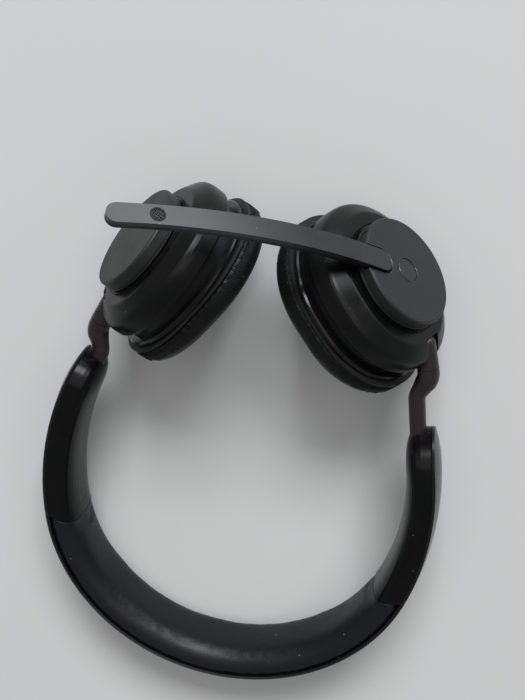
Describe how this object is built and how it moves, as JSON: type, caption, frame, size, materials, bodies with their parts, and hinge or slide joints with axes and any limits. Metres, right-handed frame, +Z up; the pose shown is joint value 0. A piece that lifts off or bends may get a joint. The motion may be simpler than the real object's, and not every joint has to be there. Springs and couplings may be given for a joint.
{
  "type": "office headset",
  "caption": "Over-head office headset: sprung padded headband, two sliding arms, two oval ear cups that swivel and tilt, and a turning boom microphone.",
  "frame": {"origin": "under the middle of the headset as it lies on a table, on the table", "axes": "+Z up from the table, +Y from the crown of the headband towards the cups, +X towards the cup with the boom"},
  "size_m": [0.1578, 0.2056, 0.1089],
  "materials": {
    "band_plastic": "gloss black moulding",
    "spring_steel": "rolled strip",
    "leatherette": "black leatherette, fine grain",
    "sleeve_plastic": "satin soft-touch",
    "arm_paint": "dark red-brown, satin",
    "steel": "bright",
    "shell_plastic": "satin black",
    "disc_plastic": "fine matt texture",
    "gloss_trim": "gloss black",
    "inner_plastic": "moulded",
    "driver_metal": "plated",
    "cone_film": "thin film",
    "mesh_cloth": "fine woven mesh",
    "battery_foil": "foil pouch",
    "board": "lacquered board",
    "boom_plastic": "satin, dark blue-grey",
    "key_plastic": "matt"
  },
  "bodies": {
    "band": {"band_shell": "band_plastic", "band_spring": "spring_steel", "band_pad": "leatherette", "left_sleeve": "sleeve_plastic", "right_sleeve": "sleeve_plastic"},
    "left_arm": {"left_arm": "arm_paint"},
    "right_arm": {"right_arm": "arm_paint"},
    "left_knuckle": {"left_knuckle": "arm_paint", "left_dowel": "steel"},
    "right_knuckle": {"right_knuckle": "arm_paint", "right_dowel": "steel"},
    "left_cup": {"left_hinge_pin": "steel", "left_shell": "shell_plastic", "left_base_ring": "shell_plastic", "left_gloss_ring": "gloss_trim", "left_baffle": "inner_plastic", "left_driver": "driver_metal", "left_cone": "cone_film", "left_scrim": "mesh_cloth", "left_cushion_plate": "inner_plastic", "left_cushion": "leatherette", "left_screws": "steel", "left_disc": "disc_plastic", "battery": "battery_foil", "charge_port": "steel"},
    "right_cup": {"right_hinge_pin": "steel", "right_shell": "shell_plastic", "right_base_ring": "shell_plastic", "right_gloss_ring": "gloss_trim", "right_baffle": "inner_plastic", "right_driver": "driver_metal", "right_cone": "cone_film", "right_scrim": "mesh_cloth", "right_cushion_plate": "inner_plastic", "right_cushion": "leatherette", "right_screws": "steel", "main_board": "board"},
    "boom": {"hub_disc": "disc_plastic", "hub_clip": "steel", "boom_face": "boom_plastic", "boom_back": "boom_plastic", "mic_grille": "steel", "mic_capsule": "driver_metal"},
    "call_button": {"call_button": "key_plastic"},
    "volume_up": {"volume_up": "key_plastic"},
    "volume_down": {"volume_down": "key_plastic"},
    "power_slider": {"power_slider": "key_plastic"}
  },
  "joints": [
    {"name": "left_arm_slide", "type": "slide", "parent": "band", "child": "left_arm", "axis": [0.254, 0.9544, 0.1569], "range_m": [0, 0.018]},
    {"name": "right_arm_slide", "type": "slide", "parent": "band", "child": "right_arm", "axis": [-0.2634, 0.9544, 0.1406], "range_m": [-0.012, 0.006]},
    {"name": "left_swivel", "type": "hinge", "parent": "left_arm", "child": "left_knuckle", "pos_m": [-0.0611, 0.04906, 0.03555], "axis": [0.3059, 0.9392, 0.1562], "range_deg": [-26.8, 11.2]},
    {"name": "right_swivel", "type": "hinge", "parent": "right_arm", "child": "right_knuckle", "pos_m": [0.05728, 0.06051, 0.04107], "axis": [0.3151, -0.9392, -0.1366], "range_deg": [-30.3, 7.7]},
    {"name": "left_tilt", "type": "hinge", "parent": "left_knuckle", "child": "left_cup", "pos_m": [-0.0611, 0.04906, 0.03555], "axis": [-0.2771, 0.2448, -0.9291], "range_deg": [-19.3, 0]},
    {"name": "right_tilt", "type": "hinge", "parent": "right_knuckle", "child": "right_cup", "pos_m": [0.05728, 0.06051, 0.04107], "axis": [-0.3888, -0.259, 0.8842], "range_deg": [-34.9, 0]},
    {"name": "boom_turn", "type": "hinge", "parent": "right_cup", "child": "boom", "pos_m": [0.04471, 0.08608, 0.04303], "axis": [-0.5934, -0.6637, -0.4554], "range_deg": [-261, 9]},
    {"name": "call_press", "type": "slide", "parent": "boom", "child": "call_button", "axis": [-0.5934, -0.6637, -0.4554], "range_m": [0, 0.0006], "stiffness_N_per_m": 800, "springref_m": -0.0006},
    {"name": "volume_up_press", "type": "slide", "parent": "right_cup", "child": "volume_up", "axis": [-0.2737, -0.3656, 0.8896], "range_m": [0, 0.0006], "stiffness_N_per_m": 800, "springref_m": -0.0006},
    {"name": "volume_down_press", "type": "slide", "parent": "right_cup", "child": "volume_down", "axis": [-0.4942, -0.1461, 0.857], "range_m": [0, 0.0006], "stiffness_N_per_m": 800, "springref_m": -0.0006},
    {"name": "power_slide", "type": "slide", "parent": "left_cup", "child": "power_slider", "axis": [0.4716, 0.8784, -0.0776], "range_m": [0, 0.0032]}
  ]
}
